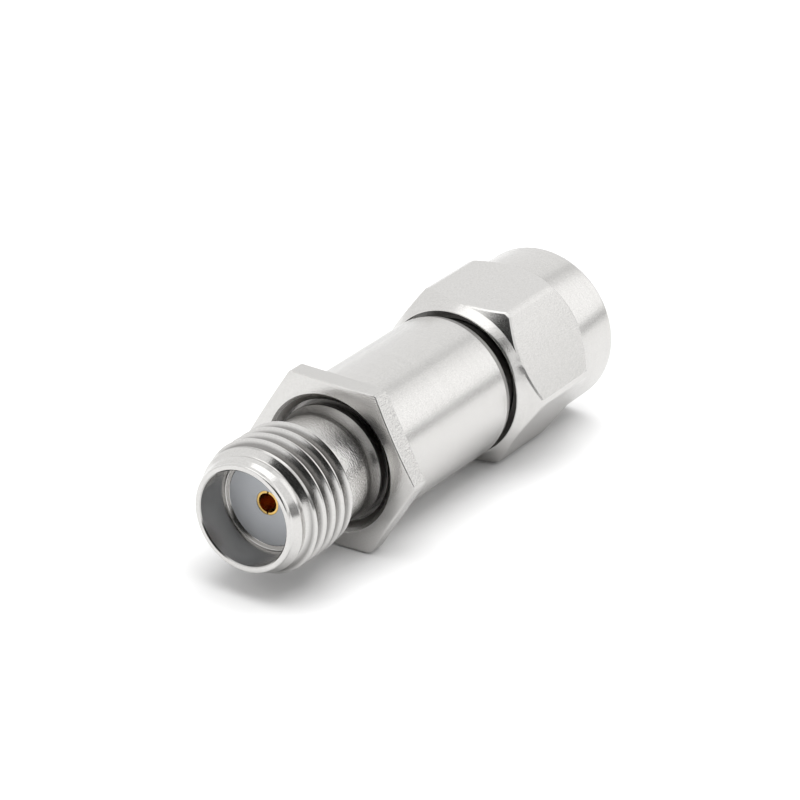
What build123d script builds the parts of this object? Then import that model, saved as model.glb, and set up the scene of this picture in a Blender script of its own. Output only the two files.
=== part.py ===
from build123d import *
import math
import os

# A fixed coaxial attenuator, lying on its side along X.
# The jack looks towards -X, the plug with its coupling nut towards +X.
# Every "at" value below is a distance along the axis from the jack's mouth, in mm.

os.makedirs("parts", exist_ok=True)

# Whole part
overall_length = 25.8
hex_flats = 8.0
bevel_crown = 0.01
nut_turn = 2.0

# Jack shell
mouth_radius = 2.30
reference_depth = 1.93
lip_radius = 2.60
lip_round = 0.10
thread_major_radius = 3.16
thread_full_at = 1.35
thread_end_at = 4.10
neck_radius = 2.72
neck_start_at = 4.46
flare_start_at = 5.75
base_edge_radius = 2.84
base_edge_at = 7.02
shell_seat_at = 7.45
jack_rear_at = 8.60

# Body sleeve
sleeve_front_at = 6.80
flange_thickness = 1.05
flange_face_radius = 3.87
flange_bevel = 0.13
flange_corner_radius = 4.57
sleeve_radius = 3.62
sleeve_bore_radius = 3.00
sleeve_rear_at = 16.50
mouth_bevel = 0.38
sleeve_bevel = 0.08

# Line through the part: centre conductor and insulation
line_bore_radius = 2.05
shoulder_radius = 2.35
centre_radius = 0.635
contact_bore_radius = 0.47
contact_bore_depth = 3.0
contact_setback = 0.02
contact_tip_radius = 0.57
contact_tip_length = 1.00
contact_tip_clearance = 0.02
contact_slot_width = 0.08
contact_slot_length = 2.4
barb_radius = 0.85
barb_length = 0.40
barb_from_face = 3.60
tail_radius = 0.40
tail_length = 1.40
insulator_step_from_face = 5.27
jack_insulator_rear_at = 8.20
pin_nose_radius = 0.457
pin_nose_length = 1.90
pin_tip_radius = 0.18
pin_tip_length = 0.32

# Attenuator element and its split carrier
carrier_length = 6.30
conductor_reach = 0.30
channel_width = 3.20
channel_height = 1.40
card_length = 5.30
card_width = 4.40
card_thickness = 0.50
card_clearance = 0.02
print_thickness = 0.03
terminal_length = 1.30
terminal_width = 1.00
ground_width = 0.58
film_width = 1.10
shunt_width = 0.60
solder_base_width = 0.96
solder_top_width = 0.60
solder_height = 0.30
solder_overlap = 0.50
solder_cap = 0.15

# Plug shell, washer, ring and gasket
washer_thickness = 0.30
washer_inner_radius = 2.40
washer_outer_radius = 2.95
plug_step_at = 16.30
plug_insulator_rear_gap = 0.20
collar_gap = 0.10
collar_clearance = 0.10
collar_thickness = 0.22
journal_radius = 3.00
ring_groove_at = 19.08
ring_groove_width = 0.54
ring_groove_radius = 2.68
land_radius = 2.95
gasket_seat_at = 20.35
plug_tube_radius = 2.295
plug_face_at = 23.10
ring_width = 0.44
ring_inner_radius = 2.70
ring_outer_radius = 3.28
ring_arc = 332
gasket_outer_radius = 2.75
gasket_thickness = 0.80

# Coupling nut
nut_rear_at = 17.25
nut_rear_ring_width = 0.08
nut_rear_cone_end_at = 17.70
nut_rear_corner_at = 18.22
nut_recess_wall = 0.36
nut_recess_depth = 0.70
lip_running_clearance = 0.05
nut_groove_at = 18.95
nut_groove_end_at = 19.80
nut_groove_radius = 3.38
thread_relief_at = 20.35
thread_relief_end_at = 20.85
thread_relief_radius = 3.24
nut_thread_radius = 2.84
nut_mouth_bevel = 0.42
nut_corner_radius = 4.53
nut_collar_length = 2.82
nut_front_bevel_length = 0.73
nut_round_radius = 3.98
nut_front_round = 0.35

# Places that follow from the values above
mouth_x = -overall_length / 2
half_flat_width = (nut_corner_radius**2 - (hex_flats / 2) ** 2) ** 0.5
turn = math.radians(nut_turn)
axis_height = hex_flats / 2 * math.cos(turn) + half_flat_width * math.sin(turn)
carrier_front_at = jack_rear_at
carrier_rear_at = carrier_front_at + carrier_length
plug_rear_at = carrier_rear_at + washer_thickness
card_at = carrier_front_at + (carrier_length - card_length) / 2
card_top = -print_thickness
jack_tail_at = carrier_front_at + conductor_reach
plug_tail_at = carrier_rear_at - conductor_reach
nut_recess_radius = nut_round_radius - nut_recess_wall
nut_flats_end_at = overall_length - nut_collar_length
nut_front_corner_at = nut_flats_end_at - nut_front_bevel_length
main_axis = Axis((0, 0, axis_height), (1, 0, 0))
side_view = Plane(origin=(mouth_x, 0, axis_height), x_dir=(1, 0, 0), z_dir=(0, -1, 0))


def end_view(at):
    # A plane across the part at one distance from the jack's mouth: Y to the right, Z up
    return Plane(origin=(mouth_x + at, 0, axis_height), x_dir=(0, 1, 0), z_dir=(1, 0, 0))


def half_profile(*points):
    # A closed half profile of a turned piece, as pairs of distance and radius
    with BuildSketch(side_view) as profile:
        with BuildLine():
            Polyline(*points, close=True)
        make_face()
    return profile.sketch


def band(start, end, inner, outer):
    # The half profile of one plain ring or disc
    return half_profile((start, inner), (end, inner), (end, outer), (start, outer))


def box_sketch(at, width, low, high, middle=0):
    # A rectangle across the part, from one height to another above the main axis
    with BuildSketch(end_view(at)) as shape:
        with Locations((middle, (low + high) / 2)):
            Rectangle(width, high - low)
    return shape.sketch


# Jack shell: the threaded barrel with its thin lip, neck and flared base
with BuildPart() as jack_shell:
    with BuildSketch(side_view):
        with BuildLine():
            Polyline(
                (0, mouth_radius + lip_round / 2),
                (0, lip_radius - lip_round),
                (lip_round, lip_radius),
                (2 * lip_round, lip_radius),
                (thread_full_at, thread_major_radius),
                (thread_end_at, thread_major_radius),
                (neck_start_at, neck_radius),
                (flare_start_at, neck_radius),
            )
            TangentArc(
                (flare_start_at, neck_radius),
                (base_edge_at, base_edge_radius),
                tangent=(1, 0),
            )
            Polyline(
                (base_edge_at, base_edge_radius),
                (shell_seat_at, base_edge_radius),
                (shell_seat_at, sleeve_bore_radius),
                (jack_rear_at, sleeve_bore_radius),
                (jack_rear_at, shoulder_radius),
                (reference_depth + insulator_step_from_face, shoulder_radius),
                (reference_depth + insulator_step_from_face, line_bore_radius),
                (reference_depth, line_bore_radius),
                (reference_depth, mouth_radius),
                (lip_round / 2, mouth_radius),
                (0, mouth_radius + lip_round / 2),
            )
        make_face()
    revolve(axis=main_axis)
jack_shell.part.label = "jack_shell"
export_step(jack_shell.part, "parts/jack_shell.step")

# Body sleeve: the smooth barrel with its thin hexagonal flange
flange_rear_at = sleeve_front_at + flange_thickness
with BuildPart() as body_sleeve:
    with BuildSketch(end_view(sleeve_front_at)):
        RegularPolygon(radius=hex_flats / 2, side_count=6, major_radius=False)
    extrude(amount=flange_thickness)
    with BuildSketch(side_view):
        with BuildLine():
            Polyline(
                (sleeve_front_at + flange_bevel, flange_corner_radius),
                (flange_rear_at, flange_corner_radius),
                (flange_rear_at, 0),
                (sleeve_front_at, 0),
                (sleeve_front_at, flange_face_radius),
            )
            ThreePointArc(
                (sleeve_front_at, flange_face_radius),
                (
                    sleeve_front_at + flange_bevel / 2 - bevel_crown,
                    (flange_face_radius + flange_corner_radius) / 2,
                ),
                (sleeve_front_at + flange_bevel, flange_corner_radius),
            )
        make_face()
    revolve(axis=main_axis, mode=Mode.INTERSECT)
    revolve(
        half_profile(
            (sleeve_front_at + flange_bevel, 0),
            (sleeve_front_at + flange_bevel, sleeve_radius),
            (sleeve_rear_at - sleeve_bevel, sleeve_radius),
            (sleeve_rear_at, sleeve_radius - sleeve_bevel),
            (sleeve_rear_at, 0),
        ),
        axis=main_axis,
    )
    revolve(
        half_profile(
            (sleeve_front_at, 0),
            (sleeve_front_at, sleeve_bore_radius + mouth_bevel),
            (sleeve_front_at + mouth_bevel, sleeve_bore_radius),
            (sleeve_rear_at, sleeve_bore_radius),
            (sleeve_rear_at, 0),
        ),
        axis=main_axis,
        mode=Mode.SUBTRACT,
    )
body_sleeve.part.label = "body_sleeve"
export_step(body_sleeve.part, "parts/body_sleeve.step")

# Jack contact: a slotted gold spring tube in front, a half-round tail behind
contact_face_at = reference_depth + contact_setback
contact_tip_end_at = contact_face_at + contact_tip_length
jack_barb_at = reference_depth + barb_from_face
with BuildPart() as jack_contact:
    revolve(
        half_profile(
            (contact_face_at, 0),
            (contact_face_at, contact_tip_radius),
            (contact_tip_end_at, contact_tip_radius),
            (contact_tip_end_at, centre_radius),
            (jack_tail_at, centre_radius),
            (jack_tail_at, 0),
        ),
        axis=main_axis,
    )
    revolve(band(jack_barb_at, jack_barb_at + barb_length, 0, barb_radius), axis=main_axis)
    with BuildSketch(end_view(jack_tail_at)):
        Circle(tail_radius)
        with Locations((0, -tail_radius)):
            Rectangle(2 * tail_radius, 2 * tail_radius, mode=Mode.SUBTRACT)
    extrude(amount=tail_length)
    revolve(
        band(contact_face_at, contact_face_at + contact_bore_depth, 0, contact_bore_radius),
        axis=main_axis,
        mode=Mode.SUBTRACT,
    )
    with BuildSketch(end_view(contact_face_at)):
        Rectangle(contact_slot_width, 2 * barb_radius)
    extrude(amount=contact_slot_length, mode=Mode.SUBTRACT)
jack_contact.part.label = "jack_contact"
export_step(jack_contact.part, "parts/jack_contact.step")

# Jack insulator: the white bead, flush with the reference plane
jack_insulator_step_at = reference_depth + insulator_step_from_face
tip_hole_radius = contact_tip_radius + contact_tip_clearance
with BuildPart() as jack_insulator:
    revolve(
        band(reference_depth, contact_tip_end_at, tip_hole_radius, line_bore_radius),
        axis=main_axis,
    )
    revolve(
        band(contact_tip_end_at, jack_insulator_rear_at, centre_radius, line_bore_radius),
        axis=main_axis,
    )
    revolve(
        band(jack_insulator_step_at, jack_insulator_rear_at, centre_radius, shoulder_radius),
        axis=main_axis,
    )
    revolve(
        band(jack_barb_at, jack_barb_at + barb_length, 0, barb_radius),
        axis=main_axis,
        mode=Mode.SUBTRACT,
    )
jack_insulator.part.label = "jack_insulator"
export_step(jack_insulator.part, "parts/jack_insulator.step")

# Carrier halves: a split metal cylinder that clamps the card along its two long edges
with BuildPart() as carrier_lower:
    revolve(band(carrier_front_at, carrier_rear_at, 0, sleeve_bore_radius), axis=main_axis)
    extrude(
        box_sketch(carrier_front_at, 2 * sleeve_bore_radius, 0, sleeve_bore_radius),
        amount=carrier_length,
        mode=Mode.SUBTRACT,
    )
    extrude(
        box_sketch(carrier_front_at, channel_width, -channel_height, 0),
        amount=carrier_length,
        mode=Mode.SUBTRACT,
    )
    extrude(
        box_sketch(
            card_at - card_clearance,
            card_width + 2 * card_clearance,
            card_top - card_thickness,
            0,
        ),
        amount=card_length + 2 * card_clearance,
        mode=Mode.SUBTRACT,
    )
carrier_lower.part.label = "carrier_lower"
export_step(carrier_lower.part, "parts/carrier_lower.step")

with BuildPart() as carrier_upper:
    revolve(band(carrier_front_at, carrier_rear_at, 0, sleeve_bore_radius), axis=main_axis)
    extrude(
        box_sketch(carrier_front_at, 2 * sleeve_bore_radius, -sleeve_bore_radius, 0),
        amount=carrier_length,
        mode=Mode.SUBTRACT,
    )
    extrude(
        box_sketch(carrier_front_at, channel_width, 0, channel_height),
        amount=carrier_length,
        mode=Mode.SUBTRACT,
    )
carrier_upper.part.label = "carrier_upper"
export_step(carrier_upper.part, "parts/carrier_upper.step")

# Attenuator card: the ceramic chip between the two centre conductors
with BuildPart() as attenuator_card:
    extrude(
        box_sketch(card_at, card_width, card_top - card_thickness, card_top),
        amount=card_length,
    )
attenuator_card.part.label = "attenuator_card"
export_step(attenuator_card.part, "parts/attenuator_card.step")

# Printed layers on the card: two end terminals, two ground strips and the resistor between them
film_at = card_at + terminal_length
film_length = card_length - 2 * terminal_length
with BuildPart() as terminal_pads:
    for start in (card_at, card_at + card_length - terminal_length):
        extrude(box_sketch(start, terminal_width, card_top, 0), amount=terminal_length)
terminal_pads.part.label = "terminal_pads"
export_step(terminal_pads.part, "parts/terminal_pads.step")

with BuildPart() as ground_pads:
    for side in (-1, 1):
        middle = side * (card_width - ground_width) / 2
        extrude(box_sketch(card_at, ground_width, card_top, 0, middle), amount=card_length)
ground_pads.part.label = "ground_pads"
export_step(ground_pads.part, "parts/ground_pads.step")

with BuildPart() as resistor_film:
    extrude(box_sketch(film_at, film_width, card_top, 0), amount=film_length)
    extrude(
        box_sketch(
            film_at + (film_length - shunt_width) / 2,
            card_width - 2 * ground_width,
            card_top,
            0,
        ),
        amount=shunt_width,
    )
resistor_film.part.label = "resistor_film"
export_step(resistor_film.part, "parts/resistor_film.step")

# Plug pin: the gold centre pin, with a half-round tail on the card
plug_barb_at = plug_face_at - barb_from_face - barb_length
pin_end_at = plug_face_at + pin_nose_length
with BuildPart() as plug_pin:
    revolve(
        half_profile(
            (plug_tail_at, 0),
            (plug_tail_at, centre_radius),
            (plug_face_at, centre_radius),
            (plug_face_at, pin_nose_radius),
            (pin_end_at - pin_tip_length, pin_nose_radius),
            (pin_end_at, pin_tip_radius),
            (pin_end_at, 0),
        ),
        axis=main_axis,
    )
    revolve(band(plug_barb_at, plug_barb_at + barb_length, 0, barb_radius), axis=main_axis)
    with BuildSketch(end_view(plug_tail_at)):
        Circle(tail_radius)
        with Locations((0, -tail_radius)):
            Rectangle(2 * tail_radius, 2 * tail_radius, mode=Mode.SUBTRACT)
    extrude(amount=-tail_length)
plug_pin.part.label = "plug_pin"
export_step(plug_pin.part, "parts/plug_pin.step")

# Solder joints: one bead round the end of each tail, on its terminal
with BuildPart() as solder_joints:
    for tail_end, towards_card in (
        (jack_tail_at + tail_length, 1),
        (plug_tail_at - tail_length, -1),
    ):
        with BuildSketch(end_view(tail_end - towards_card * solder_overlap)):
            with BuildLine():
                Polyline(
                    (-solder_base_width / 2, 0),
                    (solder_base_width / 2, 0),
                    (solder_top_width / 2, solder_height),
                    (-solder_top_width / 2, solder_height),
                    close=True,
                )
            make_face()
        extrude(amount=towards_card * (solder_overlap + solder_cap))
        with BuildSketch(end_view(tail_end - towards_card * solder_overlap)):
            Circle(tail_radius)
        extrude(amount=towards_card * solder_overlap, mode=Mode.SUBTRACT)
solder_joints.part.label = "solder_joints"
export_step(solder_joints.part, "parts/solder_joints.step")

# Compression washer: takes up the length between the carrier and the plug shell
with BuildPart() as compression_washer:
    revolve(
        band(carrier_rear_at, plug_rear_at, washer_inner_radius, washer_outer_radius),
        axis=main_axis,
    )
compression_washer.part.label = "compression_washer"
export_step(compression_washer.part, "parts/compression_washer.step")

# Plug shell: pressed into the sleeve, with a collar, the nut's journal and the thin contact tube
collar_at = sleeve_rear_at + collar_gap
journal_at = collar_at + collar_thickness
collar_radius = nut_recess_radius - collar_clearance
ring_groove_end_at = ring_groove_at + ring_groove_width
with BuildPart() as plug_shell:
    revolve(
        half_profile(
            (plug_rear_at, shoulder_radius),
            (plug_rear_at, sleeve_bore_radius),
            (collar_at, sleeve_bore_radius),
            (collar_at, collar_radius),
            (journal_at, collar_radius),
            (journal_at, journal_radius),
            (ring_groove_at, journal_radius),
            (ring_groove_at, ring_groove_radius),
            (ring_groove_end_at, ring_groove_radius),
            (ring_groove_end_at, land_radius),
            (gasket_seat_at, land_radius),
            (gasket_seat_at, plug_tube_radius),
            (plug_face_at, plug_tube_radius),
            (plug_face_at, line_bore_radius),
            (plug_step_at, line_bore_radius),
            (plug_step_at, shoulder_radius),
        ),
        axis=main_axis,
    )
plug_shell.part.label = "plug_shell"
export_step(plug_shell.part, "parts/plug_shell.step")

# Plug insulator: the white bead round the pin
plug_insulator_rear_at = plug_rear_at + plug_insulator_rear_gap
with BuildPart() as plug_insulator:
    revolve(
        band(plug_insulator_rear_at, plug_face_at, centre_radius, line_bore_radius),
        axis=main_axis,
    )
    revolve(
        band(plug_insulator_rear_at, plug_step_at, centre_radius, shoulder_radius),
        axis=main_axis,
    )
    revolve(
        band(plug_barb_at, plug_barb_at + barb_length, 0, barb_radius),
        axis=main_axis,
        mode=Mode.SUBTRACT,
    )
plug_insulator.part.label = "plug_insulator"
export_step(plug_insulator.part, "parts/plug_insulator.step")

# Retaining ring: an open spring ring in the groove of the plug shell
ring_at = ring_groove_at + (ring_groove_width - ring_width) / 2
with BuildPart() as retaining_ring:
    revolve(
        band(ring_at, ring_at + ring_width, ring_inner_radius, ring_outer_radius),
        axis=main_axis,
        revolution_arc=ring_arc,
    )
retaining_ring.part.label = "retaining_ring"
export_step(retaining_ring.part, "parts/retaining_ring.step")

# Gasket: the soft ring that the mating jack's lip presses
with BuildPart() as gasket:
    revolve(
        band(
            gasket_seat_at,
            gasket_seat_at + gasket_thickness,
            plug_tube_radius,
            gasket_outer_radius,
        ),
        axis=main_axis,
    )
gasket.part.label = "gasket"
export_step(gasket.part, "parts/gasket.step")

# Coupling nut: a cone and a bevelled hexagon behind, a plain round collar in front
bevel_middle_radius = (nut_round_radius + nut_corner_radius) / 2
lip_bore_radius = journal_radius + lip_running_clearance
with BuildPart() as coupling_nut:
    with BuildSketch(end_view(nut_rear_at)):
        RegularPolygon(radius=hex_flats / 2, side_count=6, major_radius=False, rotation=nut_turn)
    extrude(amount=nut_flats_end_at - nut_rear_at)
    with BuildSketch(side_view):
        with BuildLine():
            Polyline(
                (nut_flats_end_at, nut_round_radius),
                (nut_flats_end_at, 0),
                (nut_rear_at, 0),
                (nut_rear_at, nut_recess_radius + nut_rear_ring_width),
                (nut_rear_cone_end_at, nut_round_radius),
            )
            ThreePointArc(
                (nut_rear_cone_end_at, nut_round_radius),
                ((nut_rear_cone_end_at + nut_rear_corner_at) / 2 - bevel_crown, bevel_middle_radius),
                (nut_rear_corner_at, nut_corner_radius),
            )
            Line((nut_rear_corner_at, nut_corner_radius), (nut_front_corner_at, nut_corner_radius))
            ThreePointArc(
                (nut_front_corner_at, nut_corner_radius),
                ((nut_front_corner_at + nut_flats_end_at) / 2 + bevel_crown, bevel_middle_radius),
                (nut_flats_end_at, nut_round_radius),
            )
        make_face()
    revolve(axis=main_axis, mode=Mode.INTERSECT)
    revolve(band(nut_flats_end_at, overall_length, 0, nut_round_radius), axis=main_axis)
    front_edge = coupling_nut.faces().sort_by(Axis.X)[-1].outer_wire().edges()
    fillet(front_edge, radius=nut_front_round)
    revolve(
        half_profile(
            (nut_rear_at, 0),
            (nut_rear_at, nut_recess_radius),
            (nut_rear_at + nut_recess_depth, nut_recess_radius),
            (nut_rear_at + nut_recess_depth, lip_bore_radius),
            (nut_groove_at, lip_bore_radius),
            (nut_groove_at, nut_groove_radius),
            (nut_groove_end_at, nut_groove_radius),
            (nut_groove_end_at, lip_bore_radius),
            (thread_relief_at, lip_bore_radius),
            (thread_relief_at, thread_relief_radius),
            (thread_relief_end_at, thread_relief_radius),
            (thread_relief_end_at, nut_thread_radius),
            (overall_length - nut_mouth_bevel, nut_thread_radius),
            (overall_length, nut_thread_radius + nut_mouth_bevel),
            (overall_length, 0),
        ),
        axis=main_axis,
        mode=Mode.SUBTRACT,
    )
coupling_nut.part.label = "coupling_nut"
export_step(coupling_nut.part, "parts/coupling_nut.step")
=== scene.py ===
# %% [markdown]
# # A fixed coaxial attenuator in a soft white studio
#
# The real object is a small turned steel barrel: a threaded jack in front, a smooth body with a
# thin hexagonal flange, and a plug with a hexagonal coupling nut behind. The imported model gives
# every piece its place. This script builds the helical threads and softened edges over it, gives
# each piece a procedural finish, and sets up the light, the floor and the camera.

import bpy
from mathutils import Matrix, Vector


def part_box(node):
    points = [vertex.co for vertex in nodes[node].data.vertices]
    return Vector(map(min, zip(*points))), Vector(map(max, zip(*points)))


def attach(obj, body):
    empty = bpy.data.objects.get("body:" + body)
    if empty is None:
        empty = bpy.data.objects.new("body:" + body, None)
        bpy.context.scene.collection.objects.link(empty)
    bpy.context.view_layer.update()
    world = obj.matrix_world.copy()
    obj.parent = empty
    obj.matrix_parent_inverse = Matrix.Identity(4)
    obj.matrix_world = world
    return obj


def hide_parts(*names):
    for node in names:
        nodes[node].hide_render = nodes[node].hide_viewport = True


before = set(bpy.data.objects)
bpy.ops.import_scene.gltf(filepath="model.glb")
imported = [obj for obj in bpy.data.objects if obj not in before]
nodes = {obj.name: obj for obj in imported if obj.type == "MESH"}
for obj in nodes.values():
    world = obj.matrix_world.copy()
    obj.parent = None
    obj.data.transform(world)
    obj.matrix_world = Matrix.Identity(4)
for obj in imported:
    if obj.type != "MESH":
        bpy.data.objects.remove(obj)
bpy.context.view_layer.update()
print("nodes in the packed model:", len(nodes))

# %% [markdown]
# Everything turned on a lathe is a half profile swept round one axis. Distances along that axis
# are counted in millimetres from the jack's mouth, as a drawing of such a connector does, and
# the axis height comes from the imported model.

# %% Units and the common axis
import math

import bmesh
import bpy
import numpy as np
from mathutils import Quaternion, Vector

MM = 0.001
shell_low, shell_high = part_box("jack_shell")
MOUTH_X = shell_low.x / MM
AXIS_Z = (shell_low.z + shell_high.z) / 2 / MM
print(f"mouth at {MOUTH_X:.2f} mm, axis {AXIS_Z:.3f} mm above the floor")

# %% [markdown]
# A lathe tool such as the screw modifier sweeps one profile. Here each row of the profile is a
# ring whose distance and radius may change round the circle. The same helper then makes round
# barrels, hexagons and helical threads, and every edge lies exactly on a ring. Booleans could
# cut the same shapes, but they leave thin triangles that shine unevenly on metal.


# %% Helper that joins rows of rings into one closed mesh
SAME_POINT = 2e-7  # points closer than this, in metres, are one
SHARP_DEGREES = 12


def ring_angles(count):
    return np.linspace(0, 2 * math.pi, count + 1)


def spun(name, rows, angles):
    across = len(angles)
    points = []
    for at, radius in rows:
        at = np.broadcast_to(at, across) + MOUTH_X
        radius = np.broadcast_to(radius, across)
        ring = [at, radius * np.cos(angles), radius * np.sin(angles) + AXIS_Z]
        points.append(np.stack(ring, axis=1) * MM)
    faces = []
    for i in range(len(rows)):
        j = (i + 1) % len(rows)
        for k in range(across - 1):
            faces.append((i * across + k, j * across + k, j * across + k + 1, i * across + k + 1))
    mesh = bpy.data.meshes.new(name)
    mesh.from_pydata(np.concatenate(points).tolist(), [], faces)
    work = bmesh.new()
    work.from_mesh(mesh)
    bmesh.ops.remove_doubles(work, verts=work.verts, dist=SAME_POINT)
    bmesh.ops.recalc_face_normals(work, faces=work.faces)
    work.to_mesh(mesh)
    work.free()
    mesh.shade_smooth()
    mesh.set_sharp_from_angle(angle=math.radians(SHARP_DEGREES))
    piece = bpy.data.objects.new(name, mesh)
    bpy.context.scene.collection.objects.link(piece)
    print(name, "faces:", len(mesh.polygons))
    return piece


def arc_rows(centre_at, centre_radius, size, start, end, steps=4):
    # Rows round a softened corner, from one angle to another, in degrees from +X
    turns = np.radians(np.linspace(start, end, steps + 1))
    return [(centre_at + size * math.cos(a), centre_radius + size * math.sin(a)) for a in turns]


# %% [markdown]
# The thread of this connector family has 36 turns to the inch. It could be a bump, but its
# crests stand out against the floor, so it is real geometry. A real thread is cut by one tool
# point that moves along the axis as the barrel turns, so each row of the profile is shifted
# along the axis in step with the angle. The bevel at the start and the run-out at the end are
# made as a cap on the radius, which cuts the first and last turns the way the lathe does.

# %% Helper for helical rows
PITCH = 25.4 / 36
CREST_PHASE = 0.892
print(f"pitch of the thread {PITCH:.3f} mm")


def helix_rows(start, end, shape, limit, angles):
    # shape lists one turn as (share of the pitch from the crest's middle, radius)
    rows = []
    first = math.floor((start - CREST_PHASE) / PITCH) - 2
    last = math.ceil((end - CREST_PHASE) / PITCH) + 1
    for turn in range(first, last):
        for share, radius in shape:
            at = CREST_PHASE + PITCH * (turn + share + angles / (2 * math.pi))
            at = np.clip(at, start, end)
            rows.append((at, limit(at, np.full_like(at, radius))))
    return rows


# %% [markdown]
# The jack's barrel starts with a thin plain lip, and the thread rises out of its bevel. Behind
# the last turn lies a short neck that flares up to the flange. The crests are a little rounded,
# because rolled or tumbled threads never end in a knife edge, and those rounds catch the light.
# A coil laid on a cylinder would be quicker, but one closed surface runs from crest to neck
# without a seam, and it goes on inside through the mouth and the bore.

# %% Sizes of the threaded barrel
CREST, ROOT = 3.16, 2.73
LIP, NECK = 2.60, 2.64
LIP_ROUND, LIP_FACE = 0.10, 2.50
MOUTH, MOUTH_BEVEL = 2.30, 0.06
THREAD_FROM, THREAD_TO = 0.2, 4.46
BEVEL_END, LAST_CREST, LAST_ROOT = 1.35, 4.02, 3.9
FLARE_FROM, FLARE_LENGTH, FLARE_RISE = 6.06, 0.74, 0.20
BASE_AT, BASE_RADIUS, BASE_ROUND = 6.99, 2.81, 0.03
SEAT_AT, SEAT_RADIUS, SHELL_REAR = 7.45, 3.00, 8.60
SHOULDER_AT, SHOULDER_RADIUS, LINE_BORE = 7.20, 2.35, 2.05
PLANE_AT, PLANE_EDGE, PLANE_ROUND = 1.93, 0.03, 0.09
CREST_DROP, CREST_EASE, ROOT_EASE, BASE_STEP = 0.022, 0.004, 0.02, 0.01
thread_shape = [
    (-0.075, CREST - CREST_DROP), (-0.05, CREST - CREST_EASE), (0.0, CREST),
    (0.05, CREST - CREST_EASE), (0.075, CREST - CREST_DROP), (0.40, ROOT + ROOT_EASE),
    (0.44, ROOT), (0.5, ROOT), (0.56, ROOT), (0.60, ROOT + ROOT_EASE),
]
print(f"thread {CREST - ROOT:.2f} mm deep, {THREAD_TO - THREAD_FROM:.2f} mm long")


# %% Threaded barrel, in place of the plain solid
def barrel_limit(at, radius):
    bevel = np.interp(at, [THREAD_FROM, BEVEL_END], [LIP, CREST])
    tail = np.interp(at, [LAST_CREST, THREAD_TO], [CREST, NECK])
    floor = np.interp(at, [LAST_ROOT, THREAD_TO], [ROOT, NECK])
    return np.minimum(np.maximum(radius, floor), np.minimum(bevel, tail))


round_angles = ring_angles(180)
flare = (FLARE_LENGTH**2 + FLARE_RISE**2) / (2 * FLARE_RISE)
flare_end = math.degrees(math.asin(FLARE_LENGTH / flare))
round_at, round_radius = PLANE_AT - PLANE_ROUND, MOUTH - PLANE_ROUND
barrel_rows = [(0.0, MOUTH + MOUTH_BEVEL), (0.0, LIP_FACE)]
barrel_rows += arc_rows(LIP_ROUND, LIP_FACE, LIP_ROUND, 180, 90)
barrel_rows += helix_rows(THREAD_FROM, THREAD_TO, thread_shape, barrel_limit, round_angles)
barrel_rows += arc_rows(FLARE_FROM, NECK + flare, flare, -90, -90 + flare_end, 8)
barrel_rows += arc_rows(BASE_AT, BASE_RADIUS, BASE_ROUND, 90, 0)
barrel_rows += [(SEAT_AT, BASE_RADIUS - BASE_STEP), (SEAT_AT, SEAT_RADIUS)]
barrel_rows += [(SHELL_REAR, SEAT_RADIUS), (SHELL_REAR, SHOULDER_RADIUS)]
barrel_rows += [(SHOULDER_AT, SHOULDER_RADIUS), (SHOULDER_AT, LINE_BORE)]
barrel_rows += [(PLANE_AT + PLANE_EDGE, LINE_BORE), (PLANE_AT, LINE_BORE + PLANE_EDGE)]
barrel_rows += [(PLANE_AT, round_radius)]
barrel_rows += arc_rows(round_at, round_radius, PLANE_ROUND, 0, 90) + [(MOUTH_BEVEL, MOUTH)]
barrel = spun("threaded_barrel", barrel_rows, round_angles)

# %% [markdown]
# The hexagons are milled or bought as bar, and their corners are turned off to a slightly
# smaller circle. That leaves the narrow bright lands that run along each corner in the
# photograph. A prism crossed with a cylinder would give the same shape. Here the radius simply
# takes the smaller of the two, and one ring angle falls on each line where flat and land meet.


# %% Hexagon helper
HALF_FLATS = 4.0
SIDE = math.radians(60)
FLAT_STEPS, LAND_STEPS = 16, 4


def hexagon_angles(corner, turned):
    half = math.acos(HALF_FLATS / corner)
    angles = []
    for side in range(6):
        middle = math.radians(30 + turned + 60 * side)
        angles += list(middle + np.linspace(-half, half, FLAT_STEPS + 1))
        land = np.linspace(0, SIDE - 2 * half, LAND_STEPS + 1)
        angles += list(middle + half + land[1:-1])
    return np.array(angles + [angles[0] + 2 * math.pi])


def hexagon_radius(angles, corner, turned):
    offset = np.mod(angles - math.radians(turned), SIDE) - SIDE / 2
    return np.minimum(HALF_FLATS / np.cos(offset), corner)


print("hexagon over its flats:", 2 * HALF_FLATS, "mm")

# %% [markdown]
# The body is one turned sleeve with a thin hexagonal flange in front. Its front face is faced
# flat, and the flange's corners carry a very shallow bevel. The edges get a bevel of a few
# hundredths of a millimetre, about one pixel here, which makes them read as bright lines. The
# bevel modifier could add it, but as rings of their own the edges stay where they are meant.

# %% Body sleeve with its flange
EDGE = 0.03
FLANGE_CORNER = 4.57
FLANGE_FRONT, FLANGE_REAR = 6.80, 7.85
FACE_RADIUS, FACE_BEVEL = 3.87, 0.13
SLEEVE_RADIUS, SLEEVE_REAR, SLEEVE_ROUND = 3.62, 16.50, 0.06
SLEEVE_BORE, FUNNEL, FUNNEL_EDGE, FILLET = 3.00, 0.36, 0.02, 0.08
flange_angles = hexagon_angles(FLANGE_CORNER, 0)
flange_radius = hexagon_radius(flange_angles, FLANGE_CORNER, 0)


def flange_bevel(radius):
    return FLANGE_FRONT + (radius - FACE_RADIUS) * (FACE_BEVEL / (FLANGE_CORNER - FACE_RADIUS))


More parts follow.
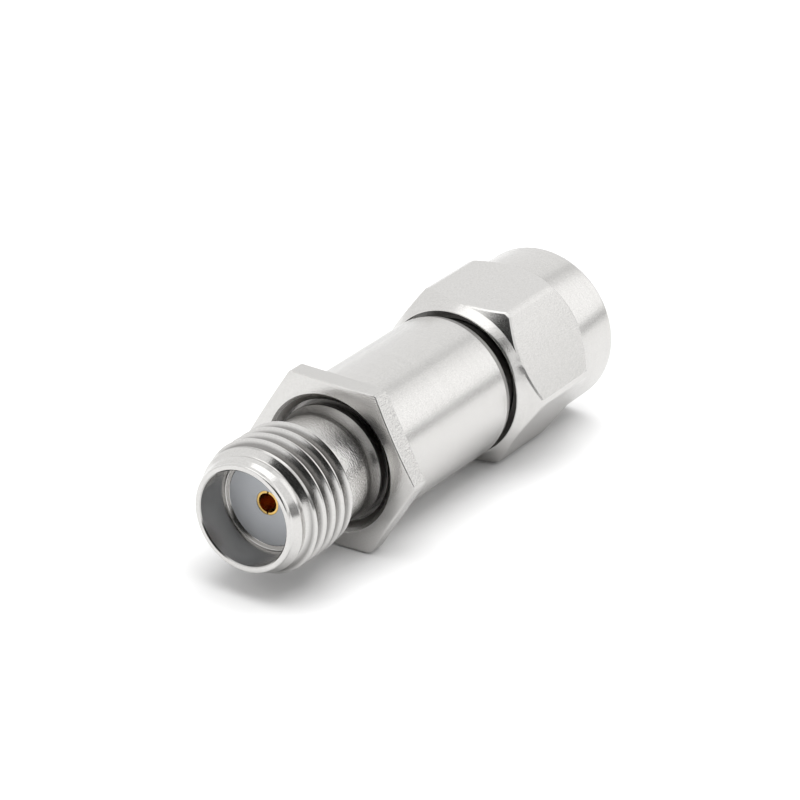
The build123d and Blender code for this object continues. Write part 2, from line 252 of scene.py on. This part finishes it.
funnel_at, funnel_radius = FLANGE_FRONT + FUNNEL_EDGE, SLEEVE_BORE + FUNNEL
sleeve_rows = [(funnel_at, funnel_radius)]
sleeve_rows += [(FLANGE_FRONT, funnel_radius + EDGE), (FLANGE_FRONT, FACE_RADIUS)]
sleeve_rows += [(flange_bevel(flange_radius - EDGE), flange_radius - EDGE)]
sleeve_rows += [(flange_bevel(flange_radius) + EDGE, flange_radius)]
sleeve_rows += [(FLANGE_REAR - EDGE, flange_radius), (FLANGE_REAR, flange_radius - EDGE)]
sleeve_rows += arc_rows(FLANGE_REAR + FILLET, SLEEVE_RADIUS + FILLET, FILLET, 180, 270)
sleeve_rows += arc_rows(SLEEVE_REAR - SLEEVE_ROUND, SLEEVE_RADIUS - SLEEVE_ROUND,
                        SLEEVE_ROUND, 90, 0)
sleeve_rows += [(SLEEVE_REAR, SLEEVE_BORE), (funnel_at + FUNNEL, SLEEVE_BORE)]
sleeve = spun("flanged_sleeve", sleeve_rows, flange_angles)

# %% [markdown]
# The coupling nut is a hexagon with a cone bevel at both ends and a plain round collar in
# front. Inside it has the recess over the body's end, the groove of its retaining ring, a
# relief, and the internal thread that takes the mating jack. A plain bore would do for the
# photograph, but the thread shows as soon as the part is seen from behind. It is cut outwards
# from the bore, so its helical rows grow in radius.

# %% Sizes of the coupling nut
NUT_CORNER = 4.53
NUT_TURN = 2.0
NUT_BORE, NUT_ROOT, NUT_ROOT_EASE, COLLAR = 2.84, 3.20, 0.01, 3.98
REAR_FACE, REAR_CONE_END, REAR_CORNER = 17.25, 17.70, 18.22
FRONT_CORNER, FRONT_CONE_END, FRONT_FACE = 22.25, 22.98, 25.80
FRONT_ROUND, MOUTH_CONE = 0.35, 0.42
NUT_THREAD_FROM, RELIEF_FROM = 20.85, 20.35
GROOVE_FROM, GROOVE_TO, RECESS_TO = 18.95, 19.80, 17.95
JOURNAL_BORE, RELIEF, GROOVE, RECESS = 3.05, 3.24, 3.38, 3.62
nut_angles = hexagon_angles(NUT_CORNER, NUT_TURN)
nut_radius = hexagon_radius(nut_angles, NUT_CORNER, NUT_TURN)
nut_thread_shape = [
    (0.5, NUT_BORE), (0.435, NUT_BORE), (0.10, NUT_ROOT - NUT_ROOT_EASE), (0.06, NUT_ROOT),
    (0.0, NUT_ROOT), (-0.06, NUT_ROOT), (-0.10, NUT_ROOT - NUT_ROOT_EASE), (-0.435, NUT_BORE),
]
print(f"nut {FRONT_FACE - REAR_FACE:.2f} mm long, turned by {NUT_TURN} degrees")


# %% Coupling nut, in place of the plain solid
def rear_cone(radius):
    return np.interp(radius, [COLLAR, NUT_CORNER], [REAR_CONE_END, REAR_CORNER])


def front_cone(radius):
    return np.interp(-radius, [-NUT_CORNER, -COLLAR], [FRONT_CORNER, FRONT_CONE_END])


def nut_limit(at, radius):
    mouth = np.interp(at, [FRONT_FACE - MOUTH_CONE, FRONT_FACE], [NUT_BORE, NUT_BORE + MOUTH_CONE])
    return np.maximum(radius, mouth)


thread = helix_rows(NUT_THREAD_FROM, FRONT_FACE, nut_thread_shape[::-1], nut_limit, nut_angles)
inner_edge = np.maximum(nut_radius - 2 * EDGE, COLLAR)
outer_edge = np.maximum(nut_radius - EDGE, COLLAR)
rear_lip = ((0.03, 0), (0, 0.02), (0.01, 0.06), (0.04, 0.09), (0.09, 0.125))
nut_rows = [(REAR_FACE + at, RECESS + out) for at, out in rear_lip]
nut_rows += [(REAR_CONE_END, COLLAR), (rear_cone(nut_radius - 2 * EDGE), inner_edge)]
nut_rows += [(rear_cone(nut_radius) + 2 * EDGE, nut_radius)]
nut_rows += [(front_cone(nut_radius) - EDGE, nut_radius)]
nut_rows += [(front_cone(outer_edge), outer_edge), (FRONT_CONE_END, COLLAR)]
nut_rows += arc_rows(FRONT_FACE - FRONT_ROUND, COLLAR - FRONT_ROUND, FRONT_ROUND, 90, 0, 8)
nut_rows += thread[::-1]
nut_rows += [(NUT_THREAD_FROM, RELIEF), (RELIEF_FROM, RELIEF), (RELIEF_FROM, JOURNAL_BORE)]
nut_rows += [(GROOVE_TO, JOURNAL_BORE), (GROOVE_TO, GROOVE), (GROOVE_FROM, GROOVE)]
nut_rows += [(GROOVE_FROM, JOURNAL_BORE), (RECESS_TO, JOURNAL_BORE), (RECESS_TO, RECESS)]
nut = spun("coupling_nut_dressed", nut_rows, nut_angles)

# %% [markdown]
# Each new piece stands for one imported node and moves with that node's body. The nut spins with
# its own body, and the other two stay with the body of the attenuator. The remaining nodes are
# plain turned or flat pieces, mostly hidden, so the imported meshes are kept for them.

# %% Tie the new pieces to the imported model
for piece, body, node, slot in (
    (barrel, "attenuator_body", "jack_shell", "stainless_jack"),
    (sleeve, "attenuator_body", "body_sleeve", "stainless_body"),
    (nut, "nut", "coupling_nut", "stainless_nut"),
):
    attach(piece, body)
    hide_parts(node)
    print(piece.name, "stands for", node)

# %% [markdown]
# The finishes share a few effects, so each effect is a node group with named sockets. Such
# trees can be wired by hand in the shader editor. Here a small class keeps the wiring short
# enough to read, and two helpers make a group and find a place on the lathe inside it.


# %% Short wiring for node trees
class Wires:
    def __init__(self, tree):
        self.tree = tree

    def node(self, kind, values=None, **settings):
        made = self.tree.nodes.new(kind)
        for key, value in settings.items():
            setattr(made, key, value)
        for key, value in (values or {}).items():
            socket = made.inputs[key]
            if isinstance(value, bpy.types.NodeSocket):
                self.tree.links.new(value, socket)
            else:
                socket.default_value = value
        return made

    def math(self, operation, *values):
        made = self.node("ShaderNodeMath", dict(enumerate(values)), operation=operation)
        return made.outputs[0]

    def blend(self, share, first, second):
        made = self.tree.nodes.new("ShaderNodeMix")
        made.data_type = "RGBA"
        for index, value in ((0, share), (6, first), (7, second)):
            if isinstance(value, bpy.types.NodeSocket):
                self.tree.links.new(value, made.inputs[index])
            else:
                made.inputs[index].default_value = value
        return made.outputs[2]

    def range(self, value, low, high):
        made = self.node("ShaderNodeMapRange", {"Value": value, "To Min": low, "To Max": high})
        return made.outputs["Result"]


# %% Helpers for node groups
def new_group(name, inputs, outputs):
    tree = bpy.data.node_groups.new(name, "ShaderNodeTree")
    for label, default in inputs:
        socket = tree.interface.new_socket(label, in_out="INPUT", socket_type="NodeSocketFloat")
        socket.default_value = default
    for label in outputs:
        tree.interface.new_socket(label, in_out="OUTPUT", socket_type="NodeSocketFloat")
    wires = Wires(tree)
    return wires, wires.node("NodeGroupInput").outputs, wires.node("NodeGroupOutput").inputs


def lathe_place(wires):
    # The place along X, Y and Z, and the distance from the common axis, all in metres
    place = wires.node("ShaderNodeTexCoord").outputs["Object"]
    split = wires.node("ShaderNodeSeparateXYZ", {0: place}).outputs
    up = wires.math("SUBTRACT", split[2], AXIS_Z * MM)
    reach = wires.math("SQRT", wires.math("ADD", wires.math("MULTIPLY", split[1], split[1]),
                                          wires.math("MULTIPLY", up, up)))
    return split, reach


# %% [markdown]
# A lathe leaves fine rings: along a barrel they follow the distance on the axis, and on a faced
# end they follow the radius. A wave texture could draw them, but all rings would be alike.
# Noise that is read at distance and radius alone draws uneven rings on both, without any
# unwrapping. A trace of the sideways place keeps them from being perfect circles.

# %% Node group for turning marks
TRACE = 150.0  # how fast a ring changes sideways, per metre
FINE_DETAIL, FINE_ROUGH = 3.0, 0.65
BROAD_SCALE, BROAD_DETAIL = 0.16, 2.0
FINE_HEIGHT, BROAD_HEIGHT = 0.94, 0.06
wires, given, result = new_group(
    "turning_marks", [("Marks per mm", 14.0), ("Unevenness", 0.5)], ["Fine", "Broad", "Height"]
)
split, reach = lathe_place(wires)
per_metre = wires.math("MULTIPLY", given["Marks per mm"], 1 / MM)
along = wires.math("MULTIPLY", split[0], per_metre)
outwards = wires.math("MULTIPLY", reach, per_metre)
sideways = wires.math("MULTIPLY", wires.math("MULTIPLY", split[1], TRACE), given["Unevenness"])
rings = wires.node("ShaderNodeCombineXYZ", {0: along, 1: outwards, 2: sideways}).outputs[0]
fine = wires.node("ShaderNodeTexNoise", {"Vector": rings, "Scale": 1.0, "Detail": FINE_DETAIL,
                                         "Roughness": FINE_ROUGH}).outputs[0]
broad = wires.node("ShaderNodeTexNoise", {"Vector": rings, "Scale": BROAD_SCALE,
                                          "Detail": BROAD_DETAIL}).outputs[0]
for label, value in (("Fine", fine), ("Broad", broad)):
    wires.tree.links.new(value, result[label])
wires.tree.links.new(wires.math("ADD", wires.math("MULTIPLY", fine, FINE_HEIGHT),
                                wires.math("MULTIPLY", broad, BROAD_HEIGHT)), result["Height"])
print("group:", wires.tree.name)

# %% [markdown]
# Passivated steel is not a mirror. It has a fine grain like frost, a coarser one where a blunt
# tool or a cutter tore it, and faint cloudy patches from tumbling and from fingers. Roughness
# alone would blur the reflections evenly, without the sparkle, so the grain is a noise that
# also goes into the bump. The patches are the same kind of noise, many times larger.

# %% Node group for grain and handling marks
wires, given, result = new_group(
    "steel_grain",
    [("Grains per mm", 14.0), ("Tears per mm", 12.0), ("Patches per mm", 0.35)],
    ["Grain", "Tears", "Patches"],
)
place = wires.node("ShaderNodeTexCoord").outputs["Object"]
for label, source, detail in (("Grain", "Grains per mm", 2.0), ("Tears", "Tears per mm", 1.0),
                              ("Patches", "Patches per mm", 3.0)):
    scale = wires.math("MULTIPLY", given[source], 1 / MM)
    noise = wires.node("ShaderNodeTexNoise", {"Vector": place, "Scale": scale, "Detail": detail})
    wires.tree.links.new(noise.outputs[0], result[label])
print("group:", wires.tree.name)


# %% [markdown]
# Some stretches were never polished, so they are rougher. Their colour is also darkened towards
# near black as painted shade, where light is lost in hollows and between parts: the jack's bore,
# the roots of its thread, its neck and the corner at the flange, the body's funnel face, the
# plug's journal and the recess between body and nut. Each is found by its distance from the
# mouth and by its radius, both in millimetres, and has a soft edge. The flange's edge faces are
# bright, but rough from the cutter and a trace darker as painted shade, so they are one too.
# Masks could be painted by hand instead, but a place in numbers stays right on every ring.

# %% Node group for rough stretches with painted shade
SOFT_EDGE = 0.12
ANY_OUTWARDS, ANY_INWARDS = 9.0, -1.0  # radii that leave nothing out
wires, given, result = new_group(
    "stretch",
    [("From", 0.0), ("To", 1.0), ("Inside", ANY_OUTWARDS), ("Outside", ANY_INWARDS)],
    ["Share"],
)
split, reach = lathe_place(wires)
from_mouth = wires.math("SUBTRACT", wires.math("DIVIDE", split[0], MM), MOUTH_X)
after = wires.math("SUBTRACT", from_mouth, given["From"])
before = wires.math("SUBTRACT", given["To"], from_mouth)
radius = wires.math("DIVIDE", reach, MM)
below = wires.math("SUBTRACT", given["Inside"], radius)
above = wires.math("SUBTRACT", radius, given["Outside"])
least = wires.math("MINIMUM", wires.math("MINIMUM", after, before),
                   wires.math("MINIMUM", below, above))
soft = wires.math("MULTIPLY", least, 1 / SOFT_EDGE)
wires.tree.links.new(wires.math("MINIMUM", wires.math("MAXIMUM", soft, 0.0), 1.0),
                     result["Share"])
print("group:", wires.tree.name)


# %% [markdown]
# One helper makes every metal: a base colour, slightly darker in the marks, a roughness that
# changes with rings and patches, and a bump of up to a few micrometres, deeper where a cutter
# tore the steel. Each metal could be wired alone, but then their grain would soon drift apart.
# So the metals differ in their values only, and the shader itself stays in the material.

# %% Helper for metal finishes
MICROMETRE = 1e-6
MARK_TINT, GRAIN_TINT = 0.30, 0.70
TINT_FROM, TINT_TO = -0.6, 1.6
PATCH_ROUGH, RING_ROUGH, ROUGH_SPREAD = 0.7, 0.06, 0.06
# Near black that the stretches are blended towards: painted shade in hollows and between parts
PAINTED_SHADE_TINT = (0.10, 0.095, 0.09, 1)


def metal(name, colour, shade, roughness, marks=14.0, cut=0.45, frosted=0.5, grain=22.0,
          stretches=()):
    material = bpy.data.materials.new(name)
    material.use_nodes = True
    wires = Wires(material.node_tree)
    shader = material.node_tree.nodes["Principled BSDF"]
    turned = wires.node("ShaderNodeGroup", node_tree=bpy.data.node_groups["turning_marks"])
    turned.inputs["Marks per mm"].default_value = marks
    frost = wires.node("ShaderNodeGroup", node_tree=bpy.data.node_groups["steel_grain"])
    frost.inputs["Grains per mm"].default_value = grain
    mixed = wires.math("ADD", wires.math("MULTIPLY", turned.outputs["Fine"], MARK_TINT),
                       wires.math("MULTIPLY", frost.outputs["Grain"], GRAIN_TINT))
    share = wires.range(mixed, TINT_FROM, TINT_TO)
    tint = wires.blend(share, (*shade, 1), (*colour, 1))
    uneven = wires.math("ADD", wires.math("MULTIPLY", frost.outputs["Patches"], PATCH_ROUGH),
                        wires.math("MULTIPLY", turned.outputs["Broad"], RING_ROUGH))
    rough = wires.range(uneven, roughness - ROUGH_SPREAD, roughness + ROUGH_SPREAD)
    height = wires.math("ADD", wires.math("MULTIPLY", turned.outputs["Height"], cut),
                        wires.math("MULTIPLY", frost.outputs["Grain"], frosted))
    for stretch in stretches:
        place = wires.node("ShaderNodeGroup", node_tree=bpy.data.node_groups["stretch"])
        place.inputs["From"].default_value, place.inputs["To"].default_value = stretch["along"]
        for label, limit in (("Outside", 0), ("Inside", 1)):
            place.inputs[label].default_value = stretch["radii"][limit]
        here = place.outputs["Share"]
        rough = wires.math("ADD", rough, wires.math("MULTIPLY", here, stretch["rougher"]))
        # The stretch's share darkens the colour towards near black: painted shade
        tint = wires.blend(wires.math("MULTIPLY", here, stretch["darker"]), tint, PAINTED_SHADE_TINT)
        torn = wires.math("MULTIPLY", here, stretch["torn"])
        height = wires.math("ADD", height, wires.math("MULTIPLY", frost.outputs["Tears"], torn))
    links = material.node_tree.links
    links.new(tint, shader.inputs["Base Color"])
    links.new(rough, shader.inputs["Roughness"])
    bump = wires.node("ShaderNodeBump", {"Height": height, "Distance": MICROMETRE,
                                         "Strength": 1.0})
    links.new(bump.outputs[0], shader.inputs["Normal"])
    shader.inputs["Metallic"].default_value = 1.0
    print("metal:", name)
    return material


# %% [markdown]
# A stretch says where it is, how much rougher it is, how far painted shade darkens it, and how
# deep the cutter tore it, in micrometres. The four steels differ in polish, and the plated pieces
# in colour.

# %% Stretches of the steel pieces
ALL_RADII = (ANY_INWARDS, ANY_OUTWARDS)
# The bore, thread roots, flange corner, funnel face, journal and nut recess are darkened strongly
# as painted shade; the neck and the flange's edge faces only by a trace.
BORE = dict(along=(-0.1, 1.95), radii=(ANY_INWARDS, 2.36), rougher=0.12, darker=0.68,
            torn=2.0)
ROOTS = dict(along=(1.0, 4.45), radii=(2.5, 3.08), rougher=0.05, darker=0.62, torn=4.0)
PLAIN_NECK = dict(along=(4.3, 6.3), radii=ALL_RADII, rougher=0.03, darker=0.06, torn=15.0)
CORNER = dict(along=(5.95, 7.6), radii=ALL_RADII, rougher=0.05, darker=0.76, torn=5.0)
FUNNEL_FACE = dict(along=(6.85, 7.6), radii=(ANY_INWARDS, 3.36), rougher=0.05, darker=0.30,
                   torn=0.0)
FLANGE_EDGE = dict(along=(6.85, 7.95), radii=(3.85, ANY_OUTWARDS), rougher=0.0, darker=0.08,
                   torn=20.0)
JOURNAL = dict(along=(15.0, 18.9), radii=ALL_RADII, rougher=0.10, darker=0.66, torn=0.0)
NUT_RECESS = dict(along=(17.2, 18.1), radii=(ANY_INWARDS, 3.66), rougher=0.10, darker=0.66,
                  torn=0.0)

# %% The metals of the part
STEEL, STEEL_SHADE = (0.74, 0.73, 0.715), (0.62, 0.61, 0.595)
steel_body = metal("turned_steel_body", STEEL, STEEL_SHADE, 0.25, cut=0.14, frosted=2.6,
                   grain=15.0, stretches=[FUNNEL_FACE, FLANGE_EDGE])
steel_jack = metal("turned_steel_jack", STEEL, STEEL_SHADE, 0.19, cut=0.3, frosted=1.8,
                   grain=15.0, stretches=[BORE, ROOTS, PLAIN_NECK, CORNER])
steel_nut = metal("turned_steel_nut", STEEL, STEEL_SHADE, 0.24, cut=0.14, frosted=2.8,
                  grain=15.0, stretches=[NUT_RECESS])
steel_plug = metal("turned_steel_plug", STEEL, STEEL_SHADE, 0.30, stretches=[JOURNAL])
gold = metal("gold_plate", (0.86, 0.60, 0.22), (0.70, 0.44, 0.13), 0.26, marks=16.0)
brass = metal("plated_brass", (0.78, 0.66, 0.40), (0.62, 0.50, 0.28), 0.32)
bronze = metal("spring_bronze", (0.72, 0.52, 0.30), (0.55, 0.37, 0.20), 0.34)
silver = metal("silver_print", (0.80, 0.79, 0.76), (0.64, 0.62, 0.59), 0.45, grain=40.0)
tin = metal("solder_tin", (0.68, 0.69, 0.70), (0.52, 0.53, 0.54), 0.30, marks=3.0)


# %% [markdown]
# The soft and ceramic pieces are not metals: white fluoropolymer beads with a satin surface, a
# matt alumina chip, its black print and a red silicone ring. One flat colour would look like
# a toy, so colour and roughness vary a little with the same grain group that the steel uses.

# %% Plain finishes
SATIN_GRAIN, SATIN_SPREAD = 20.0, 0.08
CLOUD_FROM, CLOUD_TO = -0.2, 1.2


def plain(name, colour, shade, roughness):
    material = bpy.data.materials.new(name)
    material.use_nodes = True
    wires = Wires(material.node_tree)
    shader = material.node_tree.nodes["Principled BSDF"]
    frost = wires.node("ShaderNodeGroup", node_tree=bpy.data.node_groups["steel_grain"])
    frost.inputs["Grains per mm"].default_value = SATIN_GRAIN
    links = material.node_tree.links
    share = wires.range(frost.outputs["Patches"], CLOUD_FROM, CLOUD_TO)
    links.new(wires.blend(share, (*shade, 1), (*colour, 1)), shader.inputs["Base Color"])
    links.new(wires.range(frost.outputs["Grain"], roughness - SATIN_SPREAD,
                          roughness + SATIN_SPREAD), shader.inputs["Roughness"])
    bump = wires.node("ShaderNodeBump", {"Height": frost.outputs["Grain"],
                                         "Distance": MICROMETRE, "Strength": 1.0})
    links.new(bump.outputs[0], shader.inputs["Normal"])
    print("plain finish:", name)
    return material


# The beads' colour is a darker, bluish grey rather than white: painted shade from inside the
# jack's mouth.
bead_white = plain("fluoropolymer_white", (0.60, 0.62, 0.65), (0.55, 0.57, 0.60), 0.50)
alumina = plain("alumina", (0.90, 0.89, 0.86), (0.84, 0.83, 0.79), 0.60)
ink = plain("resistor_ink", (0.07, 0.07, 0.08), (0.04, 0.04, 0.045), 0.35)
silicone = plain("silicone_red", (0.62, 0.18, 0.12), (0.52, 0.13, 0.09), 0.48)

# %% Every node gets its finish
finishes = {
    "jack_shell": steel_jack, "body_sleeve": steel_body, "coupling_nut": steel_nut,
    "plug_shell": steel_plug, "jack_contact": gold, "plug_pin": gold,
    "jack_insulator": bead_white, "plug_insulator": bead_white, "carrier_lower": brass,
    "carrier_upper": brass, "attenuator_card": alumina, "resistor_film": ink,
    "terminal_pads": silver, "ground_pads": silver, "solder_joints": tin,
    "compression_washer": bronze, "retaining_ring": bronze, "gasket": silicone,
}
for name, material in finishes.items():
    nodes[name].data.materials.clear()
    nodes[name].data.materials.append(material)
for piece, material in ((barrel, steel_jack), (sleeve, steel_body), (nut, steel_nut)):
    piece.data.materials.append(material)
print("finished nodes:", len(finishes))

# %% [markdown]
# The photograph was taken on a white sweep in soft light. The floor is a large pale plane that
# keeps the shadow, with the faint fibres of paper. A bent sweep could be modelled, but the
# camera looks down and never sees its far part. Reflections do, so for them the plane is a
# little darker.

# %% Floor
FLOOR_SIZE = 6.0
PAPER_DARK, PAPER_LIGHT, PAPER_SHADED_IN_REFLECTIONS = 0.88, 0.92, 0.78
FIBRES_PER_METRE = 900.0


def grey(level):
    return level, level, level, 1


bpy.ops.mesh.primitive_plane_add(size=FLOOR_SIZE, location=(0, 0, 0))
floor = bpy.context.object
floor.name = "floor"
paper = bpy.data.materials.new("white_paper")
paper.use_nodes = True
wires = Wires(paper.node_tree)
paper.node_tree.nodes.clear()
fibres = wires.node("ShaderNodeTexNoise", {"Scale": FIBRES_PER_METRE,
                                           "Detail": 2.0}).outputs[0]
shade = wires.blend(fibres, grey(PAPER_DARK), grey(PAPER_LIGHT))
mirrored = wires.node("ShaderNodeLightPath").outputs["Is Glossy Ray"]
# Reflections see the paper darker: painted shade for the less lit far part of a sweep.
shade = wires.blend(mirrored, shade, grey(PAPER_SHADED_IN_REFLECTIONS))
matt = wires.node("ShaderNodeBsdfDiffuse", {"Color": shade})
wires.node("ShaderNodeOutputMaterial", {"Surface": matt.outputs[0]})
floor.data.materials.append(paper)
print("floor ready")

# %% [markdown]
# Soft light from everywhere comes from the world. A ring of lamps could stand in for it, but
# each lamp would show as a spot in the steel. The world is plain white to the camera and to
# reflections, and lights the paper by a trace less.

# %% World light
DOME_LEVEL = 0.95
world = bpy.data.worlds.new("studio")
bpy.context.scene.world = world
world.use_nodes = True
wires = Wires(world.node_tree)
world.node_tree.nodes.clear()
path = wires.node("ShaderNodeLightPath")
seen = wires.math("MAXIMUM", path.outputs["Is Camera Ray"],
                  wires.math("MAXIMUM", path.outputs["Is Glossy Ray"],
                             path.outputs["Is Transmission Ray"]))
strength = wires.range(seen, DOME_LEVEL, 1.0)
white = wires.node("ShaderNodeBackground", {"Color": grey(1), "Strength": strength})
wires.node("ShaderNodeOutputWorld", {"Surface": white.outputs[0]})
print("world ready")


# %% [markdown]
# Metal shows its surroundings more than itself, so the set matters most. Studios light such
# parts with cards, and so does this scene: a bright card above right, a narrow grey gap at the
# horizon that draws the dark line along the barrels, a grey strip higher up, a dark flag beside
# the camera and a bright card overhead. These are seen by reflections only, so that each can
# be moved without a change to the shadow. The dark side of the room behind the camera takes
# light away as well. One soft lamp from above gives the shadow its direction.

# %% Helpers for lamps and cards
MIDDLE = Vector((0, 0, 0.004))


def aimed(obj, place):
    obj.location = place
    obj.rotation_euler = (MIDDLE - Vector(place)).to_track_quat("-Z", "Y").to_euler()
    bpy.context.scene.collection.objects.link(obj)


def softbox(name, place, size, power):
    lamp = bpy.data.lights.new(name, "AREA")
    lamp.size = size
    lamp.energy = power
    holder = bpy.data.objects.new(name, lamp)
    aimed(holder, place)
    holder.visible_glossy = False
    print("lamp:", name)


def card(name, direction, distance, width, height, level, shades=False):
    # The direction is seen from the part, sizes are in metres, and level 1 is the world's white
    x, y = width / 2, height / 2
    mesh = bpy.data.meshes.new(name)
    mesh.from_pydata([(-x, -y, 0), (x, -y, 0), (x, y, 0), (-x, y, 0)], [], [(0, 1, 2, 3)])
    sheet = bpy.data.objects.new(name, mesh)
    aimed(sheet, Vector(direction).normalized() * distance + MIDDLE)
    material = bpy.data.materials.new(name)
    material.use_nodes = True
    material.node_tree.nodes.clear()
    wires = Wires(material.node_tree)
    glow = wires.node("ShaderNodeEmission", {"Color": grey(1), "Strength": level})
    wires.node("ShaderNodeOutputMaterial", {"Surface": glow.outputs[0]})
    mesh.materials.append(material)
    sheet.visible_camera = False
    sheet.visible_diffuse = shades
    sheet.visible_shadow = shades
    print("card:", name)


# %% The set round the part
softbox("top_light", (0.0, -0.05, 0.45), size=0.42, power=1.8)
card("bright_card", (0.77, -0.52, 0.43), distance=0.40, width=0.29, height=0.26, level=1.32)
card("horizon_gap", (0.74, -0.66, 0.035), distance=0.44, width=0.50, height=0.055, level=0.45)
card("grey_strip", (0.74, 0.01, 0.67), distance=0.38, width=0.04, height=0.30, level=0.72)
card("room_behind", (-0.78, -0.48, 0.41), distance=0.80, width=0.94, height=0.98, level=0.02,
     shades=True)
card("dark_side", (0.03, -0.98, 0.16), distance=0.50, width=0.15, height=0.22, level=0.12)
card("overhead", (-0.14, 0.04, 0.99), distance=0.45, width=0.36, height=0.36, level=1.6)

# %% [markdown]
# The camera stands where the photograph was taken from: in front of the jack, to its left and
# above, with a long lens. It could be placed by eye, but ellipses show every error of angle.
# So place and turn were found by matching circles and edges of the connector in the picture,
# and the small roll is part of that.

# %% Camera
FOCAL_LENGTH, SENSOR_WIDTH = 180, 36
PLACE_FROM_MOUTH = Vector((-128.943, -88.963, 81.903))
HEADING = Vector((0.762212, 0.478543, -0.435924))
ROLL_DEGREES = 1.81
lens = bpy.data.cameras.new("photo_camera")
lens.lens = FOCAL_LENGTH
lens.sensor_width = SENSOR_WIDTH
lens.clip_start = 0.01
lens.clip_end = 20
camera = bpy.data.objects.new("photo_camera", lens)
camera.location = (PLACE_FROM_MOUTH + Vector((MOUTH_X, 0, AXIS_Z))) * MM
roll = Quaternion((0, 0, 1), math.radians(ROLL_DEGREES))
camera.rotation_mode = "QUATERNION"
camera.rotation_quaternion = HEADING.to_track_quat("-Z", "Y") @ roll
bpy.context.scene.collection.objects.link(camera)
bpy.context.scene.camera = camera

# %% [markdown]
# Polished steel inside threads needs a path tracer, because light bounces several times between
# crests and in the bore. A faster engine would have to guess those bounces. The plain view
# transform keeps the paper as white as in the photograph.

# %% Render settings
scene = bpy.context.scene
scene.render.engine = "CYCLES"
scene.render.resolution_x = 800
scene.render.resolution_y = 800
scene.view_settings.view_transform = "Standard"
scene.cycles.max_bounces = 12
scene.cycles.glossy_bounces = 8
print("camera and render settings ready")
